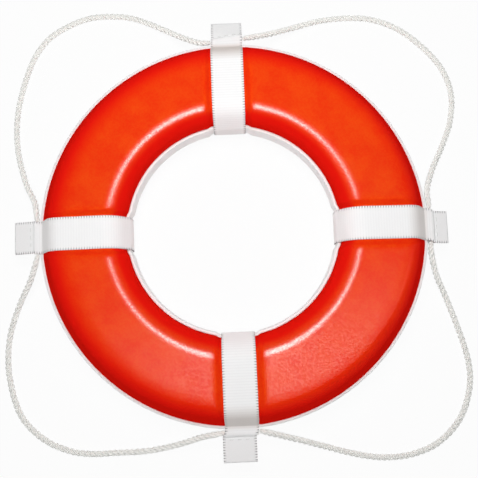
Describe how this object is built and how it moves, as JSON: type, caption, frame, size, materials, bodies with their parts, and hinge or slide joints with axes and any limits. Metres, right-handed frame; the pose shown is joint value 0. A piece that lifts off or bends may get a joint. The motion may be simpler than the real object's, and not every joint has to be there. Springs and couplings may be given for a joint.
{
  "type": "life ring",
  "caption": "Round life ring with an orange front cover and a white back, crossed by webbing straps that carry a grab line round its outer edge.",
  "frame": {"origin": "on the ring's axis at the level of the back face, which the ring lies on", "axes": "+Z along the ring's axis from the back to the orange front, +Y towards the top strap, +X towards the right strap, as the picture shows them"},
  "size_m": [0.757, 0.7608, 0.089],
  "materials": {
    "orange_cover": "satin",
    "white_cover": "satin",
    "core_foam": "matte",
    "webbing": "matte",
    "thread": "matte",
    "line_rope": "matte"
  },
  "bodies": {
    "ring": {"front_cover": "orange_cover", "rear_cover": "white_cover", "foam_core_front": "core_foam", "foam_core_rear": "core_foam", "strap_right": "webbing", "stitching_right": "thread", "line_in_right_strap": "line_rope", "strap_top": "webbing", "stitching_top": "thread", "line_in_top_strap": "line_rope", "strap_left": "webbing", "stitching_left": "thread", "line_in_left_strap": "line_rope", "strap_bottom": "webbing", "stitching_bottom": "thread", "line_in_bottom_strap": "line_rope"},
    "line_upper_right": {"grab_line_upper_right": "line_rope"},
    "line_upper_left": {"grab_line_upper_left": "line_rope"},
    "line_lower_left": {"grab_line_lower_left": "line_rope"},
    "line_lower_right": {"grab_line_lower_right": "line_rope"}
  },
  "joints": [
    {"name": "upper_right_line_swing", "type": "hinge", "parent": "ring", "child": "line_upper_right", "pos_m": [0.16928, 0.16844, 0.0455], "axis": [0.6971, -0.717, 0], "range_deg": [0, 80]},
    {"name": "upper_left_line_swing", "type": "hinge", "parent": "ring", "child": "line_upper_left", "pos_m": [-0.16917, 0.16979, 0.0455], "axis": [0.7002, 0.714, 0], "range_deg": [0, 80]},
    {"name": "lower_left_line_swing", "type": "hinge", "parent": "ring", "child": "line_lower_left", "pos_m": [-0.16816, -0.17023, 0.0455], "axis": [-0.7114, 0.7028, 0], "range_deg": [0, 80]},
    {"name": "lower_right_line_swing", "type": "hinge", "parent": "ring", "child": "line_lower_right", "pos_m": [0.16965, -0.17143, 0.0455], "axis": [-0.7108, -0.7034, 0], "range_deg": [0, 80]}
  ]
}
